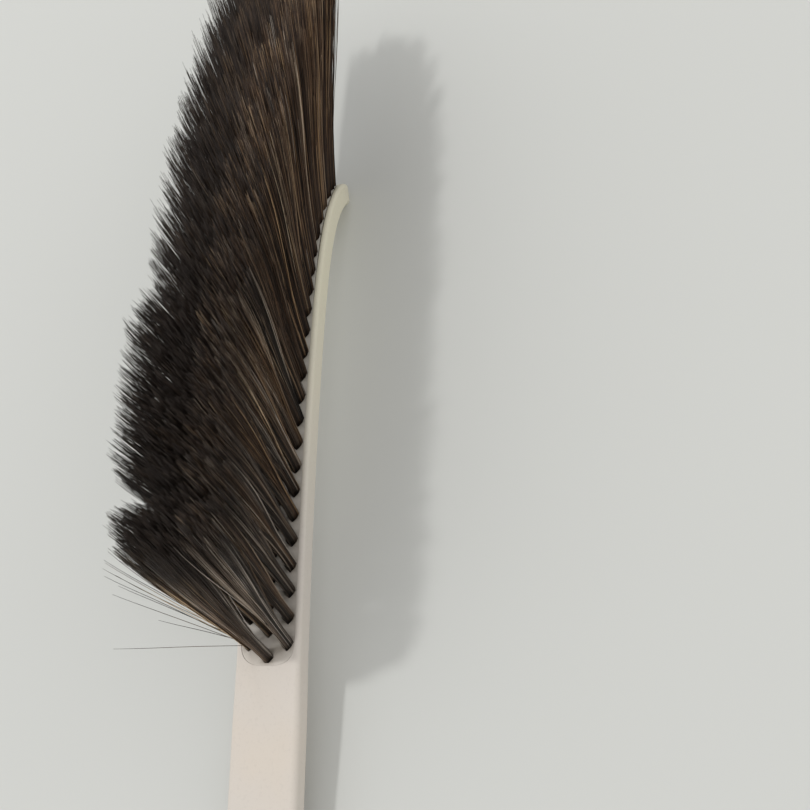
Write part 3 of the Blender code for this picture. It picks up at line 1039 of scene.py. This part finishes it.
    def colour(self):
        """Tone and warmth of each hair, and how soon the painted shade of its tip starts."""
        rng, s, side = self.rng, self.s, self.side
        grid = (self.tuft_count, STRAND_GRID, STRAND_GRID)
        strand_tone = rng.normal(0.0, STRAND_TONE_SCATTER, grid)
        # Painted highlight streaks on a few strands
        strand_tone += np.where(rng.random(grid) > HIGHLIGHT_STRAND_ABOVE, HIGHLIGHT_STRAND_TONE, 0.0)
        cell = (np.stack((self.u, self.v)) + STRAND_REACH) * STRANDS_PER_RADIUS
        cell = np.clip(cell, 0, STRAND_GRID - 1).astype(int)
        tone = MEAN_TONE + rng.normal(0.0, HAIR_TONE_SCATTER, self.count)
        tone += self.tuft_tone[self.of_tuft]
        tone += strand_tone[self.of_tuft, cell[0], cell[1]]
        tone += rng.normal(0.0, LOCK_TONE_SCATTER, self.lock_count)[self.lock]
        tone -= HEAD_DARKENING * smooth(s, *HEAD_DARKENING_S)
        warmth = np.interp(s, WARMTH_S, WARMTHS)
        warmth += rng.normal(0.0, LOCK_WARMTH_SCATTER, self.lock_count)[self.lock]
        golden = (self.of_tuft == GOLDEN_TUFT) & (self.u < GOLDEN_BELOW_U)
        tone = np.where(golden, tone + GOLDEN_TONE, tone)
        warmth = np.where(golden, 1.0, warmth)
        # Painted shade of the tips starts sooner in the far row, which lies in shade
        tip_shade_pace = TIP_SHADE_PACE + TIP_SHADE_SIDE * side
        tip_shade_pace -= (TIP_SHADE_CURL - TIP_SHADE_CURL_SIDE * side) * smooth(s, *TIP_SHADE_S)
        self.marks = np.column_stack((np.clip(tone, 0.0, 1.0), np.clip(warmth, 0.0, 1.0), tip_shade_pace))


def ease_in(values, start, room):
    """Values beyond the start squeezed into the room after it, so the hairs stay in the box."""
    over = np.maximum(values - start, 0.0)
    return np.minimum(values, start) + room * (1.0 - np.exp(-over / room))


def hair_mesh(name, path, marks, along, across):
    """Tapering tubes round the centre lines, each with its own cell of the bake map."""
    count, rings = path.shape[:2]
    radius = HAIR_RADIUS * (1.0 - TIP_THINNING * HAIR_RINGS**TIP_THINNING_POWER)
    corners = []
    for index in range(HAIR_SIDES):
        turn = FULL_TURN * index / HAIR_SIDES
        side = along * math.cos(turn) + across * math.sin(turn)
        corners.append(path + side[:, None, :] * radius[None, :, None])
    verts = np.stack(corners, axis=2).reshape(-1, 3)
    first = np.arange(count) * rings * HAIR_SIDES
    base = first[:, None, None]
    low = (np.arange(rings - 1) * HAIR_SIDES)[None, :, None]
    high = low + HAIR_SIDES
    side = np.arange(HAIR_SIDES)[None, None, :]
    after = (side + 1) % HAIR_SIDES
    quads = np.stack(
        (base + low + side, base + low + after, base + high + after, base + high + side), axis=-1
    ).reshape(-1, 4)
    roots = first[:, None] + np.arange(HAIR_SIDES)[::-1]
    ends = first[:, None] + (rings - 1) * HAIR_SIDES + np.arange(HAIR_SIDES)
    loops = np.concatenate((quads.ravel(), roots.ravel(), ends.ravel()))
    sizes = np.concatenate((np.full(len(quads), 4), np.full(2 * count, HAIR_SIDES)))
    mesh = bpy.data.meshes.new(name)
    mesh.vertices.add(len(verts))
    mesh.vertices.foreach_set("co", verts.ravel())
    mesh.loops.add(len(loops))
    mesh.loops.foreach_set("vertex_index", loops)
    mesh.polygons.add(len(sizes))
    mesh.polygons.foreach_set("loop_start", np.concatenate(([0], np.cumsum(sizes)[:-1])))
    mesh.update(calc_edges=True)
    tone, warmth, tip_shade_pace = marks.T
    whole = np.ones(rings * HAIR_SIDES)
    share = np.repeat(HAIR_RINGS, HAIR_SIDES)
    for mark, values in (
        ("tone", np.outer(tone, whole)),
        ("warmth", np.outer(warmth, whole)),
        ("along", np.outer(tip_shade_pace, share)),
    ):
        mesh.attributes.new(mark, "FLOAT", "POINT").data.foreach_set("value", values.ravel())
    mesh.uv_layers.new(name="OFBake").data.foreach_set("uv", bake_places(count).ravel())
    mesh.shade_smooth()
    return mesh


def bake_places(count):
    """Map places of all face corners: a cell for each hair, with its sides next to each other."""
    columns = math.ceil(math.sqrt(count * HAIR_SIDES))
    lines = math.ceil(count / columns)
    hair = np.arange(count)
    cell = np.column_stack((hair % columns, hair // columns)).astype(float)
    heights = SIDES_START + SIDES_HEIGHT * HAIR_RINGS
    low, high = heights[:-1, None], heights[1:, None]
    left = (np.arange(HAIR_SIDES) + SIDE_MARGIN) / HAIR_SIDES
    right = (np.arange(HAIR_SIDES) + 1 - SIDE_MARGIN) / HAIR_SIDES
    sides = np.zeros((len(HAIR_RINGS) - 1, HAIR_SIDES, 4, 2))
    for corner, (x, y) in enumerate(((left, low), (right, low), (right, high), (left, high))):
        sides[..., corner, 0] = x
        sides[..., corner, 1] = y
    parts = [
        (cell[:, None, :] + np.reshape(part, (1, -1, 2))).reshape(-1, 2)
        for part in (sides, ROOT_CAP, TIP_CAP)
    ]
    return np.concatenate(parts) / (columns, lines)


def make_bristles():
    """The hairs of each row of tufts as one piece."""
    material = bristle_material()
    hairs = Hairs()
    path = lay(hairs.path.reshape(-1, 3))
    for axis, way, start, room in BOX_LIMITS:
        path[:, axis] = way * ease_in(way * path[:, axis], start, room)
    path = path.reshape(hairs.path.shape)
    turn = np.array(BRUSH.to_3x3())
    along, across = hairs.along @ turn.T, hairs.across @ turn.T
    for row in range(ROW_COUNT):
        mine = hairs.row == row
        name = f"bristles_{row + 1:02d}"
        mesh = hair_mesh(name, path[mine], hairs.marks[mine], along[mine], across[mine])
        mesh.materials.append(material)
        made = bpy.data.objects.new(name, mesh)
        bpy.context.collection.objects.link(made)
        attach(made, "root")
        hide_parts(f"tuft_row_{row + 1:02d}")


# Floor, light and camera


def make_floor():
    material, tree, shader = new_material("floor_grey")
    place = add_node(tree, "ShaderNodeTexCoord").outputs["Object"]
    cloud = add_noise(tree, FLOOR_CLOUDS, place)
    dark = tinted(FLOOR_GREY, grey(FLOOR_CLOUD_SHADE))
    tint = add_ramp(tree, cloud, ((0.3, dark), (0.7, FLOOR_GREY)))
    tree.links.new(tint, shader.inputs["Base Color"])
    shader.inputs["Roughness"].default_value = FLOOR_ROUGHNESS
    shader.inputs["Specular IOR Level"].default_value = FLOOR_SPECULAR
    corners = [
        (x * FLOOR_HALF, y * FLOOR_HALF, 0) for x, y in ((-1, -1), (1, -1), (1, 1), (-1, 1))
    ]
    mesh = bpy.data.meshes.new("floor")
    mesh.from_pydata(corners, [], [(0, 1, 2, 3)])
    mesh.materials.append(material)
    floor = bpy.data.objects.new("floor", mesh)
    bpy.context.collection.objects.link(floor)


def make_light():
    world = bpy.data.worlds.new("soft_room")
    world.use_nodes = True
    sky = world.node_tree.nodes["Background"]
    sky.inputs["Color"].default_value = (1.0, 1.0, 1.0, 1.0)
    sky.inputs["Strength"].default_value = SKY_STRENGTH
    bpy.context.scene.world = world
    lamp = bpy.data.lights.new("key", "AREA")
    lamp.shape = "DISK"
    lamp.size = LAMP_SIZE
    lamp.energy = LAMP_ENERGY
    key = bpy.data.objects.new("key", lamp)
    bpy.context.collection.objects.link(key)
    way = Vector(LAMP_WAY).normalized()
    key.location = Vector(LAMP_TARGET) + way * LAMP_DISTANCE
    key.rotation_euler = way.to_track_quat("Z", "Y").to_euler()


def make_camera():
    camera = bpy.data.objects.new("camera", bpy.data.cameras.new("camera"))
    bpy.context.collection.objects.link(camera)
    camera.data.lens = CAMERA_LENS
    camera.data.sensor_width = CAMERA_SENSOR_WIDTH
    camera.data.clip_start = CAMERA_CLIP_START
    turns = Euler([math.radians(angle) for angle in CAMERA_TURNS])
    camera.matrix_world = BRUSH @ Matrix.LocRotScale(Vector(CAMERA_PLACE), turns, None)
    bpy.context.scene.camera = camera


make_camera()
make_floor()
make_light()
make_body()
make_plate()
make_bristles()

bpy.context.scene.view_settings.view_transform = "Standard"
bpy.context.view_layer.update()
